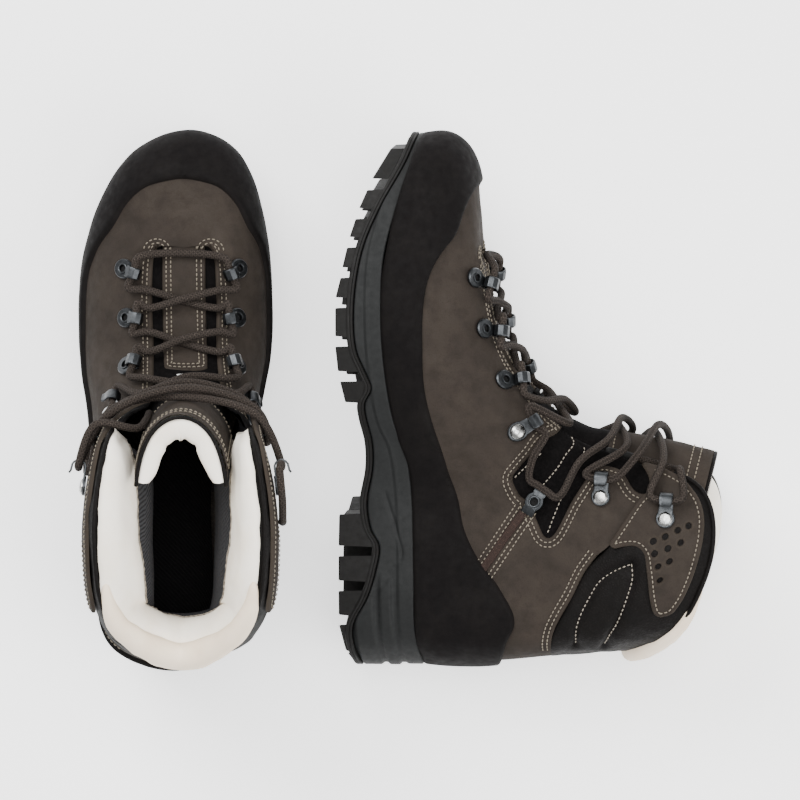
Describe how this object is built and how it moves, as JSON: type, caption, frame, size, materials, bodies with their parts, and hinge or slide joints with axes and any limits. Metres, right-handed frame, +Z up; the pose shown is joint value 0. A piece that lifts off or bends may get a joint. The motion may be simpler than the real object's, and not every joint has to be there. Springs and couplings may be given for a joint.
{
  "type": "pair of mountaineering boots",
  "caption": "Pair of high lace-up leather mountaineering boots with lugged soles, rubber rand, padded collar, cream lining and hook lacing; one stands, one lies on its side.",
  "frame": {"origin": "middle of the pair's base, on the ground that both boots rest on", "axes": "+X from the standing left boot to the lying right boot, +Y from the heels to the toes, +Z up"},
  "size_m": [0.3722, 0.3102, 0.216],
  "materials": {
    "outsole": "moulded lug rubber, matt with worn tips",
    "midsole": "dark grey moulded rubber and foam with long ridges",
    "shank": "plain spring steel",
    "board": "fibre lasting board",
    "footbed": "grey felt on foam",
    "rand": "near black rubber with a fine suede-like nap",
    "nubuck": "dark grey-brown waxed nubuck, mottled, light double stitching",
    "collar_leather": "black pebbled padded leather with a soft sheen",
    "counter": "thermoplastic stiffener, hidden",
    "textile_lining": "dark grey woven lining",
    "lining_leather": "smooth cream leather over foam",
    "lace": "round braided cord, grey-brown with lighter flecks",
    "gunmetal": "blued gunmetal with bright rivets and worn edges"
  },
  "bodies": {
    "left_boot": {"left_outsole": "outsole", "left_midsole": "midsole", "left_shank": "shank", "left_lasting_board": "board", "left_rand": "rand", "left_vamp": "nubuck", "left_quarter": "nubuck", "left_collar_pad": "collar_leather", "left_heel_counter": "counter", "left_sock_liner": "textile_lining", "left_collar_lining": "lining_leather", "left_overlay_inner": "nubuck", "left_overlay_outer": "nubuck", "left_eyelet_1_inner": "gunmetal", "left_eyelet_1_outer": "gunmetal", "left_eyelet_2_inner": "gunmetal", "left_eyelet_2_outer": "gunmetal", "left_eyelet_3_inner": "gunmetal", "left_eyelet_3_outer": "gunmetal", "left_locking_hook_inner": "gunmetal", "left_locking_hook_outer": "gunmetal", "left_speed_hook_1_inner": "gunmetal", "left_speed_hook_1_outer": "gunmetal", "left_speed_hook_2_inner": "gunmetal", "left_speed_hook_2_outer": "gunmetal", "left_lace": "lace"},
    "left_tongue": {"left_tongue": "nubuck"},
    "left_footbed": {"left_footbed": "footbed"},
    "left_lock_ring_inner": {"left_lock_ring_inner": "gunmetal"},
    "left_lock_ring_outer": {"left_lock_ring_outer": "gunmetal"},
    "right_boot": {"right_outsole": "outsole", "right_midsole": "midsole", "right_shank": "shank", "right_lasting_board": "board", "right_rand": "rand", "right_vamp": "nubuck", "right_quarter": "nubuck", "right_collar_pad": "collar_leather", "right_heel_counter": "counter", "right_sock_liner": "textile_lining", "right_collar_lining": "lining_leather", "right_overlay_inner": "nubuck", "right_overlay_outer": "nubuck", "right_eyelet_1_inner": "gunmetal", "right_eyelet_1_outer": "gunmetal", "right_eyelet_2_inner": "gunmetal", "right_eyelet_2_outer": "gunmetal", "right_eyelet_3_inner": "gunmetal", "right_eyelet_3_outer": "gunmetal", "right_locking_hook_inner": "gunmetal", "right_locking_hook_outer": "gunmetal", "right_speed_hook_1_inner": "gunmetal", "right_speed_hook_1_outer": "gunmetal", "right_speed_hook_2_inner": "gunmetal", "right_speed_hook_2_outer": "gunmetal", "right_lace": "lace"},
    "right_tongue": {"right_tongue": "nubuck"},
    "right_footbed": {"right_footbed": "footbed"},
    "right_lock_ring_inner": {"right_lock_ring_inner": "gunmetal"},
    "right_lock_ring_outer": {"right_lock_ring_outer": "gunmetal"}
  },
  "joints": [
    {"name": "left_tongue_fold", "type": "hinge", "parent": "left_boot", "child": "left_tongue", "pos_m": [-0.12057, 0.01082, 0.10664], "axis": [1, 0, 0], "range_deg": [0, 8], "stiffness_Nm_per_rad": 0.15},
    {"name": "left_footbed_lift", "type": "slide", "parent": "left_boot", "child": "left_footbed", "axis": [0, 0, 1], "range_m": [0, 0.008]},
    {"name": "left_lock_ring_inner_swing", "type": "hinge", "parent": "left_boot", "child": "left_lock_ring_inner", "pos_m": [-0.08399, -0.04656, 0.11197], "axis": [-0.2184, 0.3414, -0.9142], "range_deg": [-3, 3]},
    {"name": "left_lock_ring_outer_swing", "type": "hinge", "parent": "left_boot", "child": "left_lock_ring_outer", "pos_m": [-0.17318, -0.04657, 0.11268], "axis": [0.0656, -0.3351, 0.9399], "range_deg": [-3, 3]},
    {"name": "right_tongue_fold", "type": "hinge", "parent": "right_boot", "child": "right_tongue", "pos_m": [0.07371, 0.00229, 0.06612], "axis": [0.088, 0.1162, -0.9893], "range_deg": [0, 8], "stiffness_Nm_per_rad": 0.15},
    {"name": "right_footbed_lift", "type": "slide", "parent": "right_boot", "child": "right_footbed", "axis": [0.9961, -0.0103, 0.0874], "range_m": [0, 0.008]},
    {"name": "right_lock_ring_inner_swing", "type": "hinge", "parent": "right_boot", "child": "right_lock_ring_inner", "pos_m": [0.0761, -0.05757, 0.09638], "axis": [-0.8187, 0.5656, -0.0985], "range_deg": [-3, 3]},
    {"name": "right_lock_ring_outer_swing", "type": "hinge", "parent": "right_boot", "child": "right_lock_ring_outer", "pos_m": [0.08405, -0.04721, 0.0081], "axis": [0.8349, -0.5487, -0.0444], "range_deg": [-3, 3]},
    {"name": "right_boot_lift", "type": "slide", "parent": "left_boot", "child": "right_boot", "axis": [0, 0, 1], "range_m": [0, 0.25]}
  ]
}
